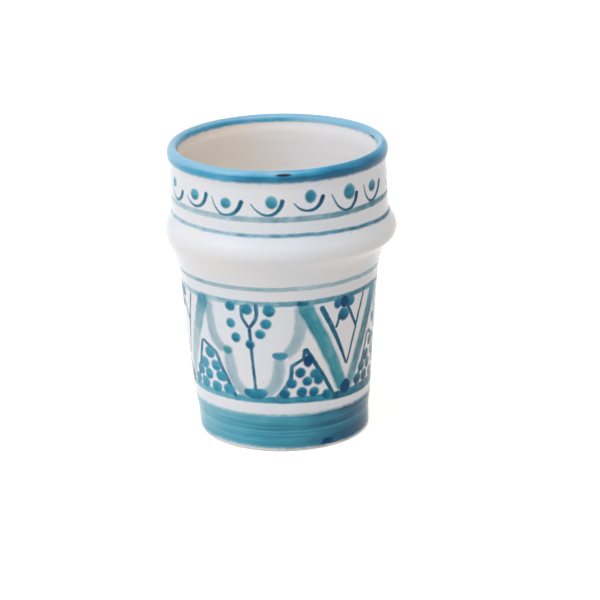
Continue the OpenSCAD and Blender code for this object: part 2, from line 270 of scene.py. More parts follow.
# Sizes of the patches where the ridges fade, of the uneven places, and of the still middle of the floor
RIDGE_PATCH = 14 * MM
LUMP = 34 * MM
STILL_R = 14 * MM
# Heights between which the lip takes up its rise, and distances from the ring over which its sag fades
LIP_FROM = 88 * MM
LIP_TO = 97 * MM
SAG_FROM = 2 * MM
SAG_TO = 11 * MM
given = add(wheel, "NodeGroupInput").outputs
circle = add(
    wheel, "GeometryNodeCurvePrimitiveCircle", {"Resolution": given["Segments"], "Radius": WHEEL_R}
)
profile = given["Geometry"]
moved = add(wheel, "GeometryNodeTransform", {"Geometry": profile, "Translation": (-WHEEL_R, 0, 0)})
swept = add(wheel, "GeometryNodeCurveToMesh", {"Curve": circle, "Profile Curve": moved})
welded = add(wheel, "GeometryNodeMergeByDistance", {"Geometry": swept, "Distance": 0.002 * MM})

place = add(wheel, "GeometryNodeInputPosition")
x, y, z = add(wheel, "ShaderNodeSeparateXYZ", [place]).outputs
level, outward = from_axis(wheel, place)
radius = add(wheel, VECTOR_MATH, [level], "LENGTH")
angle = add(wheel, MATH, [y, x], "ARCTAN2")
turns = add(wheel, MATH, [z, given["Ridge pitch"]], "DIVIDE")
spiral = add(wheel, MATH, [turns, math.tau, angle], "MULTIPLY_ADD")
ridge = add(wheel, MATH, [spiral], "SINE")
faint = add(wheel, NOISE, {"Vector": place, "Scale": 1 / RIDGE_PATCH, "Detail": 1.0})
ridge = add(wheel, MATH, [ridge, faint], "MULTIPLY")
ridge = add(wheel, MATH, [ridge, given["Ridge depth"]], "MULTIPLY")
twice = add(wheel, MATH, [angle, 2.0, 0.7], "MULTIPLY_ADD")
oval = add(wheel, MATH, [twice], "COSINE")
push = add(wheel, MATH, [oval, given["Oval"], ridge], "MULTIPLY_ADD")
lumps = add(wheel, NOISE, {"Vector": place, "Scale": 1 / LUMP, "Detail": 1.0})
lumps = add(wheel, MATH, [lumps, 0.5], "SUBTRACT")
push = add(wheel, MATH, [lumps, given["Unevenness"], push], "MULTIPLY_ADD")
hold = add(wheel, MAP_RANGE, {"Value": radius, "From Max": STILL_R}, interpolation_type="SMOOTHSTEP")
push = add(wheel, MATH, [push, hold], "MULTIPLY")
push = add(wheel, VECTOR_MATH, {0: outward, "Scale": push}, "SCALE")

height = add(wheel, MATH, [z, 100 * MM], "DIVIDE")
lean = add(wheel, "ShaderNodeFloatCurve", {"Value": height})
# Sideways drift of the axis against height as a share of 100 mm; half is no drift
DRIFT = [(0.0, 0.68), (0.08, 0.52), (0.25, 0.35), (0.45, 0.34), (0.58, 0.34), (0.645, 0.30)]
DRIFT += [(0.685, 0.52), (0.72, 0.86), (0.77, 0.72), (0.84, 0.62), (0.92, 0.58), (1.0, 0.50)]
curve_points = lean.mapping.curves[0].points
while len(curve_points) < len(DRIFT):
    curve_points.new(0.5, 0.5)
for point, spot in zip(curve_points, DRIFT):
    point.location = spot
lean.mapping.update()
lean = add(wheel, MATH, [lean, 0.5], "SUBTRACT")
lean = add(wheel, MATH, [lean, given["Drift"]], "MULTIPLY")
aside = add(wheel, "ShaderNodeVectorRotate", {"Vector": (1, 0, 0), "Angle": given["Drift heading"]})
aside = add(wheel, VECTOR_MATH, {0: aside, "Scale": lean}, "SCALE")
shift = add(wheel, VECTOR_MATH, [push, aside], "ADD")

# The lip rises away from the camera, and the ring sags on the right
away = (-math.sin(turn), math.cos(turn), 0)
behind = share_along(wheel, level, away, -36, 36)
near = {"Value": z, "From Min": LIP_FROM, "From Max": LIP_TO}
near = add(wheel, MAP_RANGE, near, interpolation_type="SMOOTHSTEP")
lip = add(wheel, MATH, [behind, near], "MULTIPLY")
lip = add(wheel, MATH, [lip, given["Lip rise"]], "MULTIPLY")
side = share_along(wheel, level, view_right, 0, 39)
near = add(wheel, MATH, [z, RING_Z * MM], "SUBTRACT")
near = add(wheel, MATH, [near], "ABSOLUTE")
near = {"Value": near, "From Min": SAG_FROM, "From Max": SAG_TO, "To Min": 1.0, "To Max": 0.0}
near = add(wheel, MAP_RANGE, near, interpolation_type="SMOOTHSTEP")
ring = add(wheel, MATH, [side, near], "MULTIPLY")
ring = add(wheel, MATH, [ring, given["Ring sag"]], "MULTIPLY")
climb = add(wheel, MATH, [lip, ring], "SUBTRACT")
climb = add(wheel, "ShaderNodeCombineXYZ", {"Z": climb})
shift = add(wheel, VECTOR_MATH, [shift, climb], "ADD")
shaped = add(wheel, "GeometryNodeSetPosition", {"Geometry": welded, "Offset": shift})
finish_tree(wheel, given, shaped, 42)


# %% Turn a tree into a plain mesh piece
def run_tree(name, data, tree, values, nodes):
    """Runs a tree on curve data, keeps the mesh, and lets the piece stand for its CAD nodes."""
    source = bpy.data.objects.new(name + "_source", data)
    scene.collection.objects.link(source)
    modifier = source.modifiers.new("tree", "NODES")
    modifier.node_group = tree
    for item in tree.interface.items_tree:
        if item.in_out == "INPUT" and item.name in values:
            modifier[item.identifier] = values[item.name]
    depsgraph = bpy.context.evaluated_depsgraph_get()
    mesh = bpy.data.meshes.new_from_object(source.evaluated_get(depsgraph), depsgraph=depsgraph)
    mesh.name = name
    bpy.data.objects.remove(source)
    piece = bpy.data.objects.new(name, mesh)
    scene.collection.objects.link(piece)
    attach(piece, "root")
    if nodes:
        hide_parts(*nodes)
    print(name, "has", len(mesh.polygons), "faces")
    return piece


def section(name, points):
    """A closed profile curve from points of radius and height in millimetres."""
    data = bpy.data.curves.new(name, "CURVE")
    data.dimensions = "3D"
    spline = data.splines.new("POLY")
    spline.points.add(len(points) - 1)
    for knot, (r, z) in zip(spline.points, reversed(points)):
        knot.co = (r * MM, -z * MM, 0, 1)
    spline.use_cyclic_u = True
    return data


HAND = {
    "Segments": 192,
    "Ridge depth": 0.05 * MM,
    "Ridge pitch": 3.6 * MM,
    "Oval": 0.12 * MM,
    "Unevenness": 0.6 * MM,
    "Drift": 2.0 * MM,
    "Drift heading": turn,
    "Lip rise": 0.95 * MM,
    "Ring sag": 0.8 * MM,
}
print("wheel settings:", len(HAND))

# %% [markdown]
# ## White tin glaze and bare clay
# Tin glaze is a milky glass about half a millimetre thick. The eye sees a soft gloss with a faint orange
# peel, small shifts between warm and cool white where the coat is thin or thick, and a few dark specks
# of iron. All colours sit in the same glass, so the glaze is a node group that every colour starts from.
# The bare foot is pale buff earthenware: matt, with fine grog.

# %% Glaze group
GLAZE_ROUGH = 0.18
GLAZE_IOR = 1.5
GLAZE_SHINE = 0.2
glaze = bpy.data.node_groups.new("tin_glaze", "ShaderNodeTree")
glaze.interface.new_socket("Colour", in_out="OUTPUT", socket_type="NodeSocketColor")
glaze.interface.new_socket("Normal", in_out="OUTPUT", socket_type="NodeSocketVector")
where = add(glaze, "ShaderNodeTexCoord").outputs["Object"]
clouds = add(glaze, NOISE, {"Vector": where, "Scale": 1 / (24 * MM), "Detail": 3.0})
clouds = add(glaze, MAP_RANGE, {"Value": clouds, "From Min": 0.35, "From Max": 0.65})
white = linear("#e8e7e8")
white = add(
    glaze, "ShaderNodeMix", {"Factor": clouds, "A": white, "B": linear("#e0e6ed")}, data_type="RGBA"
)
dust = add(glaze, "ShaderNodeTexVoronoi", {"Vector": where, "Scale": 1 / (5 * MM)}, feature="F1")
speck = {"Value": dust, "From Min": 0.03, "From Max": 0.06, "To Min": 0.5, "To Max": 0.0}
speck = add(glaze, MAP_RANGE, speck)
rare = add(glaze, MATH, [dust.outputs["Color"], 0.66], "GREATER_THAN")
speck = add(glaze, MATH, [speck, rare], "MULTIPLY")
white = add(
    glaze, "ShaderNodeMix", {"Factor": speck, "A": white, "B": linear("#8a7562")}, data_type="RGBA"
)
peel = add(glaze, NOISE, {"Vector": where, "Scale": 1 / (2.6 * MM), "Detail": 2.0})
wave = add(glaze, NOISE, {"Vector": where, "Scale": 1 / (11 * MM), "Detail": 1.0})
relief = add(glaze, MATH, [wave, 3.0, peel], "MULTIPLY_ADD")
bump = add(glaze, "ShaderNodeBump", {"Height": relief, "Strength": 0.25, "Distance": 0.05 * MM})
add(glaze, "NodeGroupOutput", {"Colour": white, "Normal": bump})
print("glaze group:", len(glaze.nodes), "nodes")


# %% Glaze and clay materials
def new_material(name):
    material = bpy.data.materials.new(name)
    material.use_nodes = True
    material.node_tree.nodes.clear()
    return material, material.node_tree


def new_glazed(name):
    """A material with its tree, the place on the piece, and the glaze that its colour starts from."""
    material, tree = new_material(name)
    where = add(tree, "ShaderNodeTexCoord").outputs["Object"]
    return material, tree, where, add(tree, "ShaderNodeGroup", node_tree=glaze)


def fire(tree, colour, coat, cover=1.0, shine=GLAZE_SHINE):
    """Ends a glazed material: the colour under the gloss and relief of the coat, and how far it covers."""
    settings = {"Base Color": colour, "Normal": coat.outputs["Normal"], "Alpha": cover}
    settings.update({"Roughness": GLAZE_ROUGH, "IOR": GLAZE_IOR, "Specular IOR Level": shine})
    shader = add(tree, "ShaderNodeBsdfPrincipled", settings)
    add(tree, "ShaderNodeOutputMaterial", {"Surface": shader})


white_glaze, tree, _, coat = new_glazed("white_tin_glaze")
fire(tree, coat.outputs["Colour"], coat)

# Inside, the glaze is painted lighter than outside, as painted light, and warmer towards the left as the
# camera sees it, as painted warm bounced light in the shade
inner_glaze, tree, where, coat = new_glazed("white_tin_glaze_inside")
thin = share_along(tree, where, view_right, -24, 12, low=0.95, high=0.1, easing="SMOOTHSTEP")
tone = coat.outputs["Colour"]
for share, code in ((0.8, "#f6f6f8"), (thin, "#fbefe0")):
    tone = add(tree, "ShaderNodeMix", {"Factor": share, "A": tone, "B": linear(code)}, data_type="RGBA")
fire(tree, tone, coat)

bare_clay, tree = new_material("buff_earthenware")
where = add(tree, "ShaderNodeTexCoord").outputs["Object"]
grog = add(tree, NOISE, {"Vector": where, "Scale": 1 / (0.7 * MM), "Detail": 4.0})
stain = add(tree, NOISE, {"Vector": where, "Scale": 1 / (9 * MM), "Detail": 3.0})
shade = add(tree, MATH, [grog, 0.5, stain], "MULTIPLY_ADD")
shade = add(tree, MAP_RANGE, {"Value": shade, "From Min": 0.5, "From Max": 1.0})
buff = linear("#f2ece4")
buff = add(tree, "ShaderNodeMix", {"Factor": shade, "A": buff, "B": linear("#fcf9f5")}, data_type="RGBA")
rough = add(tree, MAP_RANGE, {"Value": grog, "To Min": 0.7, "To Max": 0.9})
grain = add(tree, "ShaderNodeBump", {"Height": grog, "Strength": 0.5, "Distance": 0.08 * MM})
settings = {"Base Color": buff, "Roughness": rough, "Normal": grain, "IOR": 1.5}
shader = add(tree, "ShaderNodeBsdfPrincipled", settings)
add(tree, "ShaderNodeOutputMaterial", {"Surface": shader})
print("materials:", [m.name for m in (white_glaze, inner_glaze, bare_clay)])

# %% [markdown]
# ## Clay body and the two glaze coats
# The clay is the profile set back by the thickness of the glaze, closed under the foot by a turned ring
# and a shallow hollow. The two coats are thin closed skins that meet on the crown of the lip.

# %% Clay and glaze pieces
FOOT_RING = [(0.0, 1.6), (20.5, 1.6), (22.1, 0.0), (28.3, 0.0), (28.5, 0.3)]
clay_points = lifted(outside_path, -GLAZE_T) + lifted(inside_path[1:], -GLAZE_T) + FOOT_RING


def skin(path, under, over):
    """A thin closed section on a path, between two depths in millimetres."""
    return lifted(path, over) + lifted(path, under)[::-1]


def throw(name, points, material, node):
    return run_tree(name, section(name, points), wheel, {**HAND, "Material": material}, [node])


throw("clay_body_fired", clay_points, bare_clay, "clay_body")
outer_wall = throw(
    "glaze_outside", skin(outside_path, -GLAZE_T, 0), white_glaze, "outside_glaze"
)
throw("glaze_inside", skin(inside_path, -GLAZE_T, 0), inner_glaze, "inside_glaze")

# %% [markdown]
# ## Brush strokes, in Geometry Nodes
# A stroke is a path with a brush width at each point. The tree copies the paths round the cup, lets them
# wander a little as a hand does, sweeps a flat loop along them, and then drops every point onto the wall
# by a ray towards the axis, so a stroke follows the taper, the ridges and the drift. The film of colour
# swells from almost nothing at its edge to its full thickness. The tree also keeps, for the material, how
# far a point is from the stroke's edge, how far along and across it lies, and a tone for each stroke.

# %% Brush tree
brush = geometry_tree(
    "brushed_on_wall",
    {
        "Wall": "Object",
        "Copies": "Int",
        "Step": "Float",
        "Loop points": "Int",
        "Film": "Float",
        "Wander": "Float",
        "Seed": "Float",
        "Material": "Material",
    },
)
# Sizes of the hand's wander and of a film's swelling edge, depths of a film's edge and of its underside,
# the finest point of a brush, and where the rays start
WANDER_SIZE = 4.5 * MM
SWELL = 0.7 * MM
EDGE_FILM = 0.004 * MM
UNDERSIDE = -0.02 * MM
FINEST = 0.01 * MM
RAY_R = 60 * MM
given = add(brush, "NodeGroupInput").outputs
paths = given["Geometry"]
amount = given["Copies"]
copies = add(
    brush, "GeometryNodeDuplicateElements", {"Geometry": paths, "Amount": amount}, domain="SPLINE"
)
number = copies.outputs["Duplicate Index"]
share = add(brush, MATH, [number, amount], "DIVIDE")
share = add(brush, MATH, [share, math.tau], "MULTIPLY")
place = add(brush, "GeometryNodeInputPosition")
spun = add(brush, "ShaderNodeVectorRotate", {"Vector": place, "Angle": share})
spread = add(brush, "GeometryNodeSetPosition", {"Geometry": copies, "Position": spun})
paced = add(brush, "GeometryNodeResampleCurve", {"Curve": spread, "Length": given["Step"]}, mode="LENGTH")
hand = {"Vector": place, "W": given["Seed"], "Scale": 1 / WANDER_SIZE, "Detail": 2.0}
hand = add(brush, NOISE, hand, noise_dimensions="4D")
hand = add(brush, VECTOR_MATH, [hand.outputs["Color"], (0.5, 0.5, 0.5)], "SUBTRACT")
hand = add(brush, VECTOR_MATH, {0: hand, "Scale": given["Wander"]}, "SCALE")
drawn = add(brush, "GeometryNodeSetPosition", {"Geometry": paced, "Offset": hand})
_, outward = from_axis(brush, place)
faced = add(brush, "GeometryNodeSetCurveNormal", {"Curve": drawn, "Normal": outward}, mode="FREE")

along, run, _ = add(brush, "GeometryNodeSplineParameter").outputs
whole = add(brush, "GeometryNodeSplineLength")
ahead = add(brush, MATH, [whole, run], "SUBTRACT")
end_gap = add(brush, MATH, [run, ahead], "MINIMUM")
# A closed stroke has no end, so its gap is longer than any brush is wide
closed = add(brush, "GeometryNodeInputSplineCyclic")
end_gap = add(
    brush, "GeometryNodeSwitch", {"Switch": closed, "False": end_gap, "True": 1.0}, input_type="FLOAT"
)
width = add(brush, "GeometryNodeInputRadius")
cap = add(brush, MATH, [end_gap, width], "DIVIDE", use_clamp=True)
cap = add(brush, MATH, [1.0, cap], "SUBTRACT")
cap = add(brush, MATH, [cap, cap], "MULTIPLY")
cap = add(brush, MATH, [1.0, cap], "SUBTRACT", use_clamp=True)
cap = add(brush, MATH, [cap], "SQRT")
half = add(brush, MATH, [width, cap], "MULTIPLY")
half = add(brush, MATH, [half, FINEST], "MAXIMUM")
curve_id = add(brush, "GeometryNodeCurveOfPoint").outputs["Curve Index"]
tone = add(brush, "FunctionNodeRandomValue", {"ID": curve_id, "Seed": 7}, data_type="FLOAT")
kept = faced
for label, value in {
    "run": run,
    "along": along,
    "end_gap": end_gap,
    "half_width": half,
    "full_width": width,
    "tone": tone,
}.items():
    kept = add(brush, "GeometryNodeStoreNamedAttribute", {"Geometry": kept, "Name": label, "Value": value})

loop = add(brush, "GeometryNodeCurvePrimitiveCircle", {"Resolution": given["Loop points"], "Radius": 1.0})
x, y, _ = add(brush, "ShaderNodeSeparateXYZ", [place]).outputs
for label, value in {"across": x, "dome": y}.items():
    loop = add(brush, "GeometryNodeStoreNamedAttribute", {"Geometry": loop, "Name": label, "Value": value})
flat = add(brush, "ShaderNodeCombineXYZ", {"Y": x})
loop = add(brush, "GeometryNodeSetPosition", {"Geometry": loop, "Position": flat})
across, dome, gap, full, half_kept = (
    add(brush, "GeometryNodeInputNamedAttribute", {"Name": label}, data_type="FLOAT")
    for label in ("across", "dome", "end_gap", "full_width", "half_width")
)
swept = {"Curve": kept, "Profile Curve": loop, "Scale": half_kept, "Fill Caps": True}
ribbon = add(brush, "GeometryNodeCurveToMesh", swept)

# Distance from the middle line, or from the centre of a rounded end
side = add(brush, MATH, [across, half_kept], "MULTIPLY")
past = add(brush, MATH, [full, gap], "SUBTRACT", use_clamp=True)
off = add(brush, "ShaderNodeCombineXYZ", [side, past])
off = add(brush, VECTOR_MATH, [off], "LENGTH")
inset = add(brush, MATH, [full, off], "SUBTRACT")
ribbon = add(
    brush, "GeometryNodeStoreNamedAttribute", {"Geometry": ribbon, "Name": "inset", "Value": inset}
)
swell = add(brush, MAP_RANGE, {"Value": inset, "From Max": SWELL}, interpolation_type="SMOOTHSTEP")
swell = add(brush, MATH, [swell, given["Film"], EDGE_FILM], "MULTIPLY_ADD")
upper = add(brush, "FunctionNodeCompare", [dome, -0.001], "GREATER_THAN")
rise_by = add(
    brush, "GeometryNodeSwitch", {"Switch": upper, "False": UNDERSIDE, "True": swell}, input_type="FLOAT"
)
wall = add(brush, "GeometryNodeObjectInfo", {"Object": given["Wall"]})
tall = add(brush, VECTOR_MATH, [place, (0, 0, 1)], "MULTIPLY")
ray_start = add(brush, VECTOR_MATH, [outward, (RAY_R, RAY_R, 0), tall], "MULTIPLY_ADD")
inward = add(brush, VECTOR_MATH, {0: outward, "Scale": -1.0}, "SCALE")
ray = {"Source Position": ray_start, "Ray Direction": inward, "Ray Length": RAY_R}
hit = add(brush, "GeometryNodeRaycast", {"Target Geometry": wall.outputs["Geometry"], **ray})
landed = add(brush, VECTOR_MATH, {0: hit.outputs["Hit Normal"], "Scale": rise_by}, "SCALE")
landed = add(brush, VECTOR_MATH, [landed, hit.outputs["Hit Position"]], "ADD")
laid = add(brush, "GeometryNodeSetPosition", {"Geometry": ribbon, "Position": landed})
finish_tree(brush, given, laid, 70)

# %% [markdown]
# ## Colours from copper and cobalt
# The painter thins metal oxides with water. A load runs from thin to pooled, and it changes along a stroke
# as the brush is set down and lifted, across it as the brush leans, in streaks behind the bristles, and
# from the light side of the cup to the heavy one. In the kiln the edges bleed into the glaze, so a film
# covers less and less towards its edge. One function makes each colour from these habits and three hex
# values: thin, full and pooled.

# %% Colour materials
# Brushed oxide dries the glaze, so it shines less
PAINT_SHINE = 0.1


def load_ramp(tree, load, thin, full, pooled):
    ramp = add(tree, "ShaderNodeValToRGB", {"Fac": load})
    stops = ramp.color_ramp.elements
    stops[0].color = linear(thin)
    stops[1].color = linear(pooled)
    stops.new(0.5).color = linear(full)
    return ramp


def add_shares(tree, load, shares):
    """Adds to the load each value, counted from its own middle, by its weight."""
    for value, weight, centre in shares:
        value = add(tree, MATH, [value, centre], "SUBTRACT")
        load = add(tree, MATH, [value, weight, load], "MULTIPLY_ADD")
    return load


def drawn_noise(tree, where, long, tall):
    """A noise drawn out sideways, as bristles leave it; sizes in millimetres."""
    size = (1 / (long * MM), 1 / (long * MM), 1 / (tall * MM))
    drawn = add(tree, "ShaderNodeMapping", {"Vector": where, "Scale": size})
    return add(tree, NOISE, {"Vector": drawn, "Scale": 1.0, "Detail": 2.0})


def faded_edge(tree, where, inset, bleed, fray):
    """How far a film covers, from nothing at its edge to all of it where the bleeding ends."""
    rough = add(tree, NOISE, {"Vector": where, "Scale": 1 / (2.6 * MM), "Detail": 1.0})
    rough = add(tree, MATH, [rough, 0.5], "SUBTRACT")
    depth = add(tree, MATH, [rough, fray * MM, inset], "MULTIPLY_ADD")
    span = {"Value": depth, "From Max": bleed * MM}
    return add(tree, MAP_RANGE, span, interpolation_type="SMOOTHSTEP")


def brushed_colour(
    name, thin, full, pooled, cover=1.0, bleed=0.5, blotch=0.4, lift=0.2, slope=0.0, heavy=0.0, runs_dry=0.0
):
    """Brushed oxide: bleed in mm; the shares of load by wetness, lift, slope and side; and the share of its
    cover that a stroke loses towards its end."""
    material, tree, where, coat = new_glazed(name)
    kept = {}
    for label in ("inset", "run", "along", "across", "tone"):
        kept[label] = add(tree, "ShaderNodeAttribute", attribute_name=label).outputs["Fac"]
    body = faded_edge(tree, where, kept["inset"], bleed, bleed * 0.35)
    body = add(tree, MATH, [body, cover], "MULTIPLY")

    # Streaks are long along the stroke, narrow across it, and differ from stroke to stroke
    lane = add(tree, MATH, [kept["run"], 1 / (9 * MM)], "MULTIPLY")
    bristle = add(tree, MATH, [kept["across"], 2.2], "MULTIPLY")
    mark = add(tree, MATH, [kept["tone"], 40.0], "MULTIPLY")
    lanes = add(tree, "ShaderNodeCombineXYZ", [lane, bristle, mark])
    lanes = add(tree, NOISE, {"Vector": lanes, "Scale": 1.0, "Detail": 2.0})
    wet = add(tree, NOISE, {"Vector": where, "Scale": 1 / (3.4 * MM), "Detail": 2.0})
    late = add(tree, MATH, [kept["along"], 2.0], "POWER")
    spent = {"Value": kept["along"], "To Min": 1.0, "To Max": 1.0 - runs_dry}
    spent = add(tree, MAP_RANGE, spent, interpolation_type="SMOOTHSTEP")
    body = add(tree, MATH, [body, spent], "MULTIPLY")
    shares = [(lanes, 0.6, 0.5), (wet, blotch * 2, 0.5), (late, lift, 0.33)]
    shares += [(kept["across"], slope, 0.0), (kept["tone"], 0.16, 0.5)]
    sided = add(tree, VECTOR_MATH, [where, view_right], "DOT_PRODUCT")
    sided = add(tree, MATH, [sided, 1 / (36 * MM)], "MULTIPLY")
    shares += [(sided, heavy, 0.1)]
    ramp = load_ramp(tree, add_shares(tree, 0.5, shares), thin, full, pooled)
    fire(tree, ramp, coat, body, shine=PAINT_SHINE)
    return material


DAB_LOAD = {"bleed": 1.0, "lift": -0.3, "slope": 0.3}
ROUND_LOAD = {"bleed": 0.8, "blotch": 0.5, "lift": 0}
COLOURS = {
    "copper_dab": ("#62b0c5", "#2d8ba7", "#145f7c", DAB_LOAD),
    "garland_copper": ("#68b2c6", "#3a90a9", "#1c667e", {**DAB_LOAD, "heavy": 0.15}),
    "copper_deep": ("#4199b2", "#156f90", "#084c6b", {**DAB_LOAD, "lift": -0.35}),
    "copper_net": ("#4ea3bc", "#2484a2", "#084e60", {**DAB_LOAD, "bleed": 0.9, "heavy": 0.55}),
    "cobalt_dab": ("#2479a0", "#064a78", "#03355c", {"bleed": 0.9, "lift": -0.2}),
    "copper_stripe": ("#8cbec8", "#4899a8", "#297c91", {"bleed": 1.4, "lift": 0.1, "slope": 0.3}),
    "copper_dry": ("#b4ccd5", "#74a3b1", "#2f7080", {"bleed": 1.4, "lift": -0.4, "heavy": 0.45}),
    "copper_second_pass": ("#63b0c6", "#3793ad", "#1f7590", {"bleed": 1.6, "lift": 0.0, "runs_dry": 1.0}),
    "copper_line": ("#b8d2dc", "#679fb4", "#1f6884", {**ROUND_LOAD, "heavy": 0.4}),
    "panel_line": ("#bdd5de", "#6ba4b6", "#297387", {**ROUND_LOAD, "heavy": 0.5}),
    "loaded_line": ("#7cb8c8", "#4c9ab4", "#1f6f90", ROUND_LOAD),
    "lower_line": ("#76b6c7", "#3b93ae", "#10586f", {**ROUND_LOAD, "heavy": 0.55}),
    "cobalt_line": ("#6aa3b8", "#1b6886", "#0a486b", {"bleed": 0.55, "lift": 0.4, "heavy": 0.2}),
    "washed_line": ("#bdd1d8", "#8fb2be", "#3f7d8f", {**ROUND_LOAD, "heavy": 0.42}),
    "thinned_line": ("#cbdbe1", "#a5c1ca", "#74a8b7", ROUND_LOAD),
    "pale_wash": ("#bacdd6", "#9fbac6", "#84a7b6", {"cover": 0.94, "bleed": 1.7, "slope": 0.2}),
}
paints = {}
for name, (thin, full, pooled, load) in COLOURS.items():
    paints[name] = brushed_colour(name, thin, full, pooled, **load)
print("colours:", list(paints))

# %% [markdown]
# ## Laying strokes out
# A painter divides the cup into three and repeats one arch and one chevron. Each stroke below is a list of
# points: an angle in degrees from the arch's middle, a height and a half-width in millimetres. A dab is a
# stroke about as long as it is wide. The points go onto the wall's nominal radius, and the tree does the
# rest. A later stroke has a slightly thicker film, so it covers an earlier one. A film is thinner than
# paper and lies on the glaze, so it is left out of shadows and bounced light.

# %% Stroke helpers
# CAD slots of the brushed colours, apart from the wash
TEAL = "teal_colour"
BLUE = "blue_colour"


def wall_radius(z):
    for (a, _), (b, _) in zip(outside_path, outside_path[1:]):
        if a.y <= z <= b.y:
            return a.x + (b.x - a.x) * (z - a.y) / (b.y - a.y)
    return outside_path[0][0].x


def strokes(name, lists, handles="AUTO", closed=False):
    """Curve data with one spline for each list of angle, height and half-width."""
    data = bpy.data.curves.new(name, "CURVE")
    data.dimensions = "3D"
    data.resolution_u = 16
    for points in lists:
        spline = data.splines.new("BEZIER")
        spline.bezier_points.add(len(points) - 1)
        for knot, (degrees, z, half_width) in zip(spline.bezier_points, points):
            r = wall_radius(z)
            a = math.radians(degrees)
            knot.co = (r * math.sin(a) * MM, -r * math.cos(a) * MM, z * MM)
            knot.handle_left_type = handles
            knot.handle_right_type = handles
            knot.radius = half_width * MM
        spline.use_cyclic_u = closed
    return data


def dab(degrees, z, wide, tall):
    """A short level stroke: a dot that is wide and tall in millimetres."""
    reach = math.degrees(wide / 2 / wall_radius(z))
    return [(degrees - reach, z, tall / 2), (degrees + reach, z, tall / 2)]


def thin_film(piece):
    for ray in ("diffuse", "glossy", "shadow"):
        setattr(piece, "visible_" + ray, False)


def paint(
    name, lists, colour, node, slot, film, copies=3, wander=0.5, step=0.3, loop=16, seed=1.0, **shape
):
    """Brushes one kind of stroke on the wall in a colour by its name; lengths in millimetres."""
    values = {"Wall": outer_wall, "Copies": copies, "Step": step * MM, "Loop points": loop}
    values.update({"Film": film * MM, "Wander": wander * MM, "Seed": seed, "Material": paints[colour]})
    nodes = [node] if node else []
    thin_film(run_tree(name, strokes(name, lists, **shape), brush, values, nodes))


print("radius at the waist:", round(wall_radius(55.5), 2))

# %% [markdown]
# ## Lines drawn on the wheel
# The cup turns and the brush stays still, so these lines close on themselves. The line on the shoulder
# dips on one side, where the ring is lower, and the panel's lower line sinks and widens there.


# %% Wheel lines
def round_line(z, half_width, dip=0.0, dip_at=0.0, widen=0.0):
    """A level line round the cup that dips by some millimetres about one angle, and widens by a share of
    the dip."""
    points = []
    for degrees in range(0, 360, 30):
        sunk = dip * max(0.0, math.cos(math.radians(degrees - dip_at))) ** 4
        points.append((degrees, z - sunk, half_width + widen * sunk))
    return points


ROUND = {"copies": 1, "closed": True, "step": 0.8, "loop": 14}
shoulder = round_line(78.3, 1.0, dip=1.2, dip_at=95)
panel_low = round_line(19.2, 1.6, dip=1.2, dip_at=85, widen=0.4)
LINES = [
    ("line_collar", round_line(83.7, 1.35), "washed_line", "collar_line", TEAL, 0.018),
    ("line_shoulder", shoulder, "copper_line", "shoulder_line", TEAL, 0.018),
    ("line_waist", round_line(59.1, 1.15), "thinned_line", "waist_line", TEAL, 0.018),
    ("line_panel_top", round_line(53.8, 1.3), "panel_line", "panel_top_line", BLUE, 0.024),
    ("line_panel_low", panel_low, "lower_line", "panel_bottom_line", BLUE, 0.024),
]
for number, (name, points, *rest) in enumerate(LINES):
    paint(name, [points], *rest, seed=1.5 + number, **ROUND)

# %% [markdown]
# ## Foot band
# A wide brush held against the turning cup leaves level streaks all round: lighter where it ran dry,
# darker at the bottom where the colour gathered, and heavier on one side. Towards the right, where the cup
# turns away from the light, the band is also darkened as painted shade. The streaks are a noise in
# object space that is drawn out sideways, so they run unbroken round the cup.

# %% Foot band
HEAVY_SIDE = (math.sin(math.radians(62)), -math.cos(math.radians(62)), 0)
paints["foot_copper"], tree, where, coat = new_glazed("foot_copper")
inset = add(tree, "ShaderNodeAttribute", attribute_name="inset").outputs["Fac"]
height = add(tree, "ShaderNodeSeparateXYZ", [where]).outputs["Z"]
low = add(tree, MAP_RANGE, {"Value": height, "From Min": 2 * MM, "From Max": 11 * MM})
heavy = share_along(tree, where, HEAVY_SIDE, -5, 29)
# Painted shade: the band darkens towards the right, where the cup turns away from the light
painted_shade_right = share_along(tree, where, view_right, 8, 30)
# The dry streak where two passes of the brush meet
dry = add(tree, MATH, [height, 7.3 * MM], "SUBTRACT")
dry = add(tree, MATH, [dry], "ABSOLUTE")
dry = add(tree, MAP_RANGE, {"Value": dry, "From Min": 0.1 * MM, "From Max": 0.6 * MM})
shares = []
for long, tall, weight in ((46, 1.5, 0.9), (26, 0.55, 0.5), (9, 3.0, 0.4)):
    shares.append((drawn_noise(tree, where, long, tall), weight, 0.5))
shares += [(low, -0.12, 0.5), (heavy, 0.55, 0.42), (dry, 0.3, 1.0), (painted_shade_right, 0.4, 0.0)]
ramp = load_ramp(tree, add_shares(tree, 0.43, shares), "#78bacc", "#4098b0", "#135b79")
fire(tree, ramp, coat, faded_edge(tree, where, inset, bleed=1.8, fray=0.9))
# The top edge is level, and the bottom one is lower where the colour ran
band = round_line(7.6, 7.0, dip=0.3, dip_at=50, widen=1.0)
BROAD = {"copies": 1, "closed": True, "step": 1.0, "loop": 48, "wander": 0.3}
paint("band_foot", [band], "foot_copper", "foot_band", TEAL, 0.018, **BROAD)
drips = [
    dab(47.5, 2.5, 4.8, 3.0), dab(44.0, 1.9, 2.6, 1.8), dab(18.0, 2.1, 1.2, 2.4), dab(356.0, 1.9, 1.8, 1.2)
]
paint("foot_drips", drips, "cobalt_dab", None, BLUE, 0.03, copies=1)
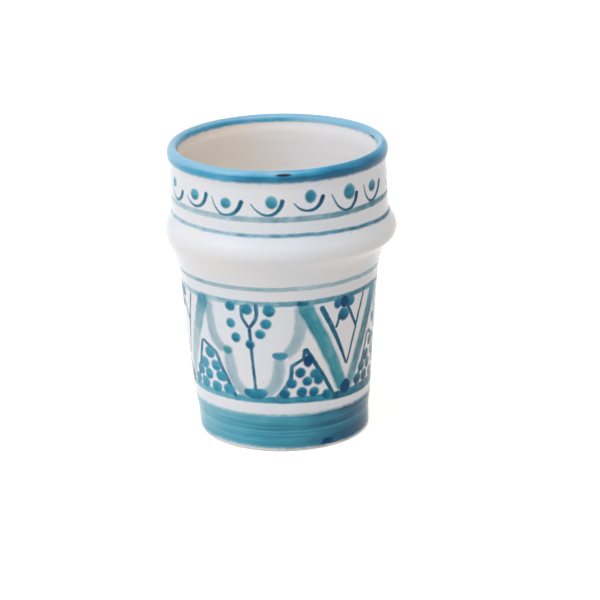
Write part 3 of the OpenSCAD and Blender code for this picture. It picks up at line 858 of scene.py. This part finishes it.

# %% [markdown]
# ## Rim band
# The lip was painted with a loaded brush while the cup turned. The band crosses the crown, so it is a thin
# skin from the same profile, lifted off the glaze, and goes through the wheel like the glaze. The colour
# runs off the crown and gathers on both flanks, is heavier on one side, and has two small dark chips. The
# crown is also lightened as a painted highlight, and the inner flank on the right as painted light.

# %% Rim band
# Heights where the colour ends outside and inside, lower edges of the skin that carries it, and heights
# between which the colour thins towards the crown
RIM_OUT_Z = 95.2
RIM_IN_Z = 97.6
SKIN_OUT_Z = 95.0
SKIN_IN_Z = 97.0
THIN_FROM = 98.6 * MM
THIN_TO = 99.9 * MM
RIM_SHINE = 0.3
# Angle, radius and height of the middle of each chip
CHIPS = [(20.6, 36.5, 98.75), (122.0, 33.7, 98.7)]
# A chip reaches about 3 mm sideways and 0.5 mm up and down; this scale makes it a ball of radius one
CHIP_SHAPE = (340, 340, 1900)
rim_blue, tree, where, coat = new_glazed("rim_cobalt")
height = add(tree, "ShaderNodeSeparateXYZ", [where]).outputs["Z"]
level = add(tree, VECTOR_MATH, [where, (1, 1, 0)], "MULTIPLY")
radius = add(tree, VECTOR_MATH, [level], "LENGTH")
inner = add(tree, MATH, [radius, CROWN_R * MM], "LESS_THAN")
border = {"Value": inner, "To Min": RIM_OUT_Z * MM, "To Max": RIM_IN_Z * MM}
border = add(tree, MAP_RANGE, border)
depth = add(tree, MATH, [height, border], "SUBTRACT")
body = faded_edge(tree, where, depth, bleed=1.5, fray=0.7)
wet = add(tree, NOISE, {"Vector": where, "Scale": 1 / (11 * MM), "Detail": 2.0})
heavy = share_along(tree, where, HEAVY_SIDE, 8, 36)
behind = share_along(tree, where, away, -10, 30)
# The inner flank on the right, which faces the lamp on the left, is painted lighter: painted light
lit_inner_flank = share_along(tree, where, view_right, -4, 14)
lit_inner_flank = add(tree, MATH, [lit_inner_flank, inner], "MULTIPLY")
# The crown is lighter, partly from thin colour and partly as a painted highlight that is strongest on the
# left; it reaches lower outside than inside, and less far on the heavy side
LEAN = 0.5
thin_crown_and_highlight = add(tree, MATH, [radius, CROWN_R * MM], "SUBTRACT")
thin_crown_and_highlight = add(tree, MATH, [thin_crown_and_highlight, LEAN, height], "MULTIPLY_ADD")
thin_crown_and_highlight = {"Value": thin_crown_and_highlight, "From Min": THIN_FROM, "From Max": THIN_TO}
thin_crown_and_highlight = add(tree, MAP_RANGE, thin_crown_and_highlight, interpolation_type="SMOOTHSTEP")
light = add(tree, MAP_RANGE, {"Value": heavy, "From Min": 0.82, "To Min": 1.0, "To Max": 0.4})
thin_crown_and_highlight = add(tree, MATH, [thin_crown_and_highlight, light], "MULTIPLY")
shares = [(drawn_noise(tree, where, 16, 0.9), 0.6, 0.5), (wet, 0.8, 0.5), (heavy, 0.62, 0.3)]
shares += [(thin_crown_and_highlight, -0.66, 0.25), (behind, 0.06, 0.1), (lit_inner_flank, -0.6, 0.0)]
colour = load_ramp(tree, add_shares(tree, 0.48, shares), "#87bcd5", "#339dc3", "#036189")
for degrees, r, z in CHIPS:
    a = math.radians(degrees)
    spot = Vector((r * math.sin(a), -r * math.cos(a), z)) * MM
    chip = add(tree, VECTOR_MATH, [where, spot], "SUBTRACT")
    chip = add(tree, VECTOR_MATH, [chip, CHIP_SHAPE], "MULTIPLY")
    chip = add(tree, VECTOR_MATH, [chip], "LENGTH")
    chip = add(tree, MAP_RANGE, {"Value": chip, "From Min": 1.1, "From Max": 0.6})
    colour = add(
        tree, "ShaderNodeMix", {"Factor": chip, "A": colour, "B": linear("#0a2233")}, data_type="RGBA"
    )
fire(tree, colour, coat, body, shine=RIM_SHINE)
rim_path = [p for p in outside_path if p[0].y > SKIN_OUT_Z]
rim_path += [p for p in inside_path[1:] if p[0].y > SKIN_IN_Z]
thin_film(throw("band_rim", skin(rim_path, -0.02, 0.05), rim_blue, "rim_band"))

# %% [markdown]
# ## Garland
# Sixteen quick scallops run under the lip. The brush starts thin on the left, swings down and up, and
# lifts with a dark end; a dot sits in each bowl. No two are alike. Those in front follow the photograph,
# and the others vary from a fixed seed.

# %% Garland
dice = random.Random(16)
GARLAND_PITCH = 22.5
GARLAND_START = 11.7
# Left end, lowest point and right end of the scallops in front, then the dot with its width and height
SEEN = {
    -3: ((-58.0, 89.4), (-49.4, 85.2), (-42.5, 89.4), (-53.6, 90.5, 4.2, 4.2)),
    -2: ((-39.4, 88.5), (-29.8, 85.6), (-22.7, 91.3), (-31.9, 89.3, 5.0, 4.7)),
    -1: ((-19.9, 90.3), (-11.1, 84.5), (-1.2, 90.2), (-10.7, 88.5, 4.9, 4.6)),
    0: ((2.7, 89.0), (12.9, 85.3), (20.4, 90.8), (14.0, 89.5, 5.0, 5.4)),
    1: ((24.9, 89.3), (34.0, 86.3), (41.7, 91.4), (34.3, 91.0, 4.9, 5.6)),
    2: ((45.8, 91.0), (55.9, 84.5), (62.7, 90.3), (57.1, 90.4, 5.7, 6.3)),
    3: ((67.5, 91.4), (74.0, 85.0), (83.8, 91.2), (75.2, 89.8, 5.0, 4.8)),
}
scallops = []
garland_dots = []
for number in range(-8, 8):
    a = GARLAND_START + number * GARLAND_PITCH + dice.uniform(-1.2, 1.2)
    z = dice.uniform(-0.5, 0.7)
    spot = (a + 0.6, 89.8 + z, dice.uniform(4.4, 5.0), dice.uniform(4.4, 5.2))
    plain = ((a - 9.6, 89.5 + z), (a, 85.3 + z / 2), (a + 8.2, 89.8 + z), spot)
    left, low, right, spot = SEEN.get(number, plain)
    scallop = [
        (*left, 0.44),
        (left[0] + (low[0] - left[0]) * 0.48, left[1] + (low[1] - left[1]) * 0.8, 0.66),
        (*low, 0.74),
        (low[0] + (right[0] - low[0]) * 0.62, low[1] + (right[1] - low[1]) * 0.3, 0.94),
        (*right, 1.1),
    ]
    scallops.append(scallop)
    garland_dots.append(dab(*spot))
SINGLE = {"copies": 1, "step": 0.25}
paint("garland_swings", scallops, "cobalt_line", "garland_scallops", BLUE, 0.029, **SINGLE)
paint("garland_dabs", garland_dots, "garland_copper", "garland_dots", TEAL, 0.034, seed=3.0, **SINGLE)

# %% [markdown]
# ## Arches
# A lobed arch is four strokes of very thin wash. A touch of thicker colour covers each cusp, and the arch
# stands on a flat spot.

# %% Arch strokes
lobes = [
    [(-29.0, 54.0, 2.7), (-28.5, 46.0, 2.7), (-25.8, 39.4, 2.8), (-18.0, 35.0, 2.5)],
    [(-16.6, 36.6, 2.6), (-15.4, 29.8, 3.0), (-12.0, 24.4, 2.9), (-4.2, 20.2, 2.4)],
    [(28.6, 54.0, 2.9), (28.8, 46.0, 2.9), (25.8, 39.2, 2.8), (17.6, 34.4, 2.4)],
    [(16.2, 36.2, 2.5), (15.3, 29.8, 2.8), (12.2, 24.4, 2.8), (4.6, 20.2, 2.3)],
]
paint("arch_washes", lobes, "pale_wash", "arch_lobes", "pale_wash", 0.012, step=0.5, loop=20)
left_touch = dab(-17.0, 36.1, 5.2, 4.4)
paint("cusp_touches_left", [left_touch], "copper_stripe", "cusp_accents", TEAL, 0.027)
right_touch = [(10.8, 35.7, 1.3), (16.8, 35.3, 1.9), (21.6, 35.8, 1.2)]
paint("cusp_touches_right", [right_touch], "loaded_line", "cusp_accents", TEAL, 0.027)
arch_foot = [(-8.2, 22.1, 1.5), (0.0, 21.3, 2.6), (8.8, 22.3, 1.8)]
paint("arch_foot_spots", [arch_foot], "copper_dab", "arch_feet", TEAL, 0.027)
# One arch has a dark touch over its wash, which shows at the right edge of the photograph
edge_touch = [(88.6, 43.8, 2.0), (89.8, 38.6, 2.0)]
paint("arch_touch_dark", [edge_touch], "copper_deep", "arch_lobes", "pale_wash", 0.028, copies=1)

# %% [markdown]
# ## Chevrons
# Two broad strokes of copper lean together between the arches and meet in a dark drop. A fine chevron
# inside them frames a small flower.

# %% Chevron strokes
WIDE = {"step": 0.6, "loop": 24}
down = [(29.9, 54.4, 3.8), (34.0, 49.4, 3.2), (44.6, 37.5, 3.2), (59.6, 19.2, 2.9)]
paint("chevron_sweeps_down", [down], "copper_stripe", "chevron_stripes", TEAL, 0.021, **WIDE)
up = [(-32.4, 54.4, 3.4), (-36.0, 49.4, 3.1), (-45.0, 37.5, 2.8), (-58.2, 19.2, 2.5)]
paint("chevron_sweeps_up", [up], "copper_dry", "chevron_stripes", TEAL, 0.021, **WIDE)
# The colour pools where the first sweep starts, and a second pass darkens the start of the other
pool = dab(30.0, 53.6, 5.4, 2.8)
paint("chevron_pools", [pool], "copper_deep", "chevron_stripes", TEAL, 0.03)
again = [(-31.0, 54.8, 3.6), (-35.4, 50.4, 3.2), (-42.0, 42.6, 2.9)]
paint("chevron_sweeps_again", [again], "copper_second_pass", "chevron_stripes", TEAL, 0.0265, **WIDE)
drops = [dab(60.3, 20.8, 5.5, 6.4)]
paint("chevron_drop_dabs", drops, "cobalt_dab", "chevron_drops", BLUE, 0.038)
fine = [
    [(40.7, 52.2, 1.3), (51.0, 41.0, 1.1), (60.5, 28.8, 0.75)],
    [(73.9, 53.2, 0.78), (67.2, 41.0, 0.8), (60.5, 28.8, 0.62)],
]
paint("chevron_fine_lines", fine, "cobalt_line", "inner_chevrons", BLUE, 0.029)
lozenge = [[(59.2, 50.6, 0.9), (67.8, 41.7, 0.8)], [(55.8, 49.9, 0.9), (51.3, 42.8, 0.75)]]
paint("lozenge_fine_lines", lozenge, "cobalt_line", "lozenge_lines", BLUE, 0.027)
side_petals = [dab(52.3, 51.8, 4.4, 5.2), dab(62.0, 51.6, 4.8, 5.0), dab(56.9, 47.4, 5.8, 5.6)]
paint("flower_side_dabs", side_petals, "copper_deep", "flower_dots", BLUE, 0.033)
mid_petal = dab(57.2, 51.8, 4.8, 5.6)
paint("flower_mid_dabs", [mid_petal], "cobalt_dab", "flower_dots", BLUE, 0.036)

# %% [markdown]
# ## Sprig
# A forked stem hangs in the arch between two rows of berries.

# %% Sprig strokes
stems = [
    [(0.7, 21.4, 0.8), (-0.6, 33.0, 0.82), (-1.5, 45.4, 0.95)],
    [(-5.3, 53.8, 1.0), (-5.6, 49.0, 0.9), (-1.5, 44.8, 0.85)],
    [(3.1, 54.6, 1.1), (2.8, 49.0, 0.92), (-1.5, 44.8, 0.85)],
]
paint("sprig_stem_lines", stems, "cobalt_line", "sprig_stems", BLUE, 0.031)
berries = [
    dab(-12.8, 52.4, 4.7, 4.6),
    dab(-13.2, 46.1, 4.4, 4.5),
    dab(-10.4, 41.1, 4.5, 4.6),
    dab(-2.6, 51.8, 5.0, 5.0),
    dab(10.6, 51.6, 5.2, 5.4),
    dab(8.5, 46.8, 4.7, 4.6),
    dab(4.9, 43.0, 4.6, 4.4),
]
paint("sprig_berry_dabs", berries, "copper_dab", "sprig_berries", TEAL, 0.035)
last_berry = [dab(-1.5, 39.2, 4.4, 4.2)]
paint("sprig_last_dabs", last_berry, "copper_deep", "sprig_berries", TEAL, 0.035)

# %% [markdown]
# ## Dotted nets
# The corners between arch and chevron are outlined with a fine brush and filled with rows of dots. On the
# right of the arch the brush was freshly loaded, so the dots are deeper.

# %% Net strokes
outlines = [
    [(50.4, 19.2, 1.0), (45.4, 24.7, 1.0), (39.6, 30.0, 1.05), (31.4, 37.8, 1.0)],
    [
        (11.6, 18.2, 1.1),
        (19.8, 24.2, 1.1),
        (22.4, 26.8, 1.05),
        (23.4, 31.4, 0.95),
        (30.4, 33.8, 0.85),
        (31.4, 37.8, 1.0),
    ],
    [(-38.0, 37.6, 0.9), (-26.4, 34.2, 1.05), (-20.0, 26.4, 1.05), (-12.8, 18.8, 1.0)],
    [(-38.0, 37.6, 0.9), (-43.2, 28.0, 0.9), (-50.0, 18.8, 0.9)],
]
paint("net_outline_lines", outlines, "cobalt_line", "net_outlines", BLUE, 0.029, handles="VECTOR")
left_spots = [(-32.0, 33.5), (-38.2, 28.9), (-27.5, 29.2), (-43.6, 25.7), (-34.6, 25.4), (-23.4, 25.8)]
left_spots += [(-39.4, 21.7), (-28.3, 21.5), (-18.1, 21.7), (-48.4, 21.8)]
right_spots = [(28.4, 28.9), (37.6, 27.9), (32.8, 25.5), (40.2, 25.6), (23.0, 25.0)]
right_spots += [(18.6, 21.6), (29.3, 21.7), (36.9, 21.4), (45.8, 19.8)]
left_dots = [dab(a, z, dice.uniform(5.2, 5.8), dice.uniform(4.6, 5.0)) for a, z in left_spots]
right_dots = [dab(a, z, dice.uniform(4.5, 4.9), dice.uniform(4.5, 4.9)) for a, z in right_spots]
paint("net_dabs_left", left_dots, "copper_net", "net_dots", TEAL, 0.035, seed=9.0)
paint("net_dabs_right", right_dots, "copper_deep", "net_dots", TEAL, 0.035, seed=5.0)
tip = dab(33.4, 32.9, 4.5, 5.8)
paint("net_dabs_top", [tip], "cobalt_dab", "net_dots", TEAL, 0.037)

# %% [markdown]
# ## Floor and light
# A white sweep and soft daylight from the left. The camera sees the world and the floor as white, and the
# floor still takes the cup's soft shadow and sends a little warm light back up.

# %% Floor
floor_mesh = bpy.data.meshes.new("floor")
floor_mesh.from_pydata([(-3, -3, 0), (3, -3, 0), (3, 3, 0), (-3, 3, 0)], [], [(0, 1, 2, 3)])
floor = bpy.data.objects.new("floor", floor_mesh)
scene.collection.objects.link(floor)
floor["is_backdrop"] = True


def seen_rays(tree):
    """One for what the camera sees, straight or in gloss or glass, and nothing for light that falls."""
    path = add(tree, "ShaderNodeLightPath")
    seen = path.outputs["Is Camera Ray"]
    for kind in ("Is Glossy Ray", "Is Transmission Ray"):
        seen = add(tree, MATH, [seen, path.outputs[kind]], "ADD", use_clamp=True)
    return seen


paper, tree = new_material("white_paper")
matt = add(tree, "ShaderNodeBsdfDiffuse", {"Color": linear("#f3ece4")})
glow = add(tree, MATH, [seen_rays(tree), 0.5], "MULTIPLY")
glow = add(tree, "ShaderNodeEmission", {"Color": (1, 1, 1, 1), "Strength": glow})
both = add(tree, "ShaderNodeAddShader", [matt, glow])
add(tree, "ShaderNodeOutputMaterial", {"Surface": both})
floor_mesh.materials.append(paper)

# %% World and lamps
world = bpy.data.worlds.new("daylight")
scene.world = world
world.use_nodes = True
tree = world.node_tree
tree.nodes.clear()
# The sky is brighter on the left and above than on the right
heading = add(tree, "ShaderNodeTexCoord").outputs["Generated"]
bright = Vector((0, 0, 0.6)) - view_right * 0.6
bright = add(tree, VECTOR_MATH, [heading, bright], "DOT_PRODUCT")
bright = add(tree, MAP_RANGE, {"Value": bright, "From Min": -0.8, "To Min": 0.1, "To Max": 0.78})
bright = add(tree, "ShaderNodeMix", {"Factor": seen_rays(tree), "A": bright, "B": 1.0}, data_type="FLOAT")
sky = add(tree, "ShaderNodeBackground", {"Color": (1, 1, 1, 1), "Strength": bright})
add(tree, "ShaderNodeOutputWorld", {"Surface": sky})


def lamp(name, bearing, height, distance, size, power, colour):
    """An area lamp round the cup; the bearing is from the camera, positive to its right."""
    data = bpy.data.lights.new(name, "AREA")
    data.shape = "DISK"
    data.size = size
    data.energy = power
    data.color = linear(colour)[:3]
    light = bpy.data.objects.new(name, data)
    scene.collection.objects.link(light)
    a = turn + math.radians(bearing)
    e = math.radians(height)
    away = Vector((math.sin(a) * math.cos(e), -math.cos(a) * math.cos(e), math.sin(e)))
    light.location = middle + away * distance
    light.rotation_euler = away.to_track_quat("Z", "Y").to_euler()


lamp("window_left", -62, 42, 1.1, 0.9, 4.0, "#e9f2ff")
lamp("soft_front", 18, 68, 1.3, 1.0, 5.2, "#fbfcff")

# %% [markdown]
# ## Size of the dressed cup
# The script prints the box that the dressed cup fills, in millimetres.

# %% Size and finish
low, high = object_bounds()
print("visual box in mm:", [round(v / MM, 2) for v in high - low])
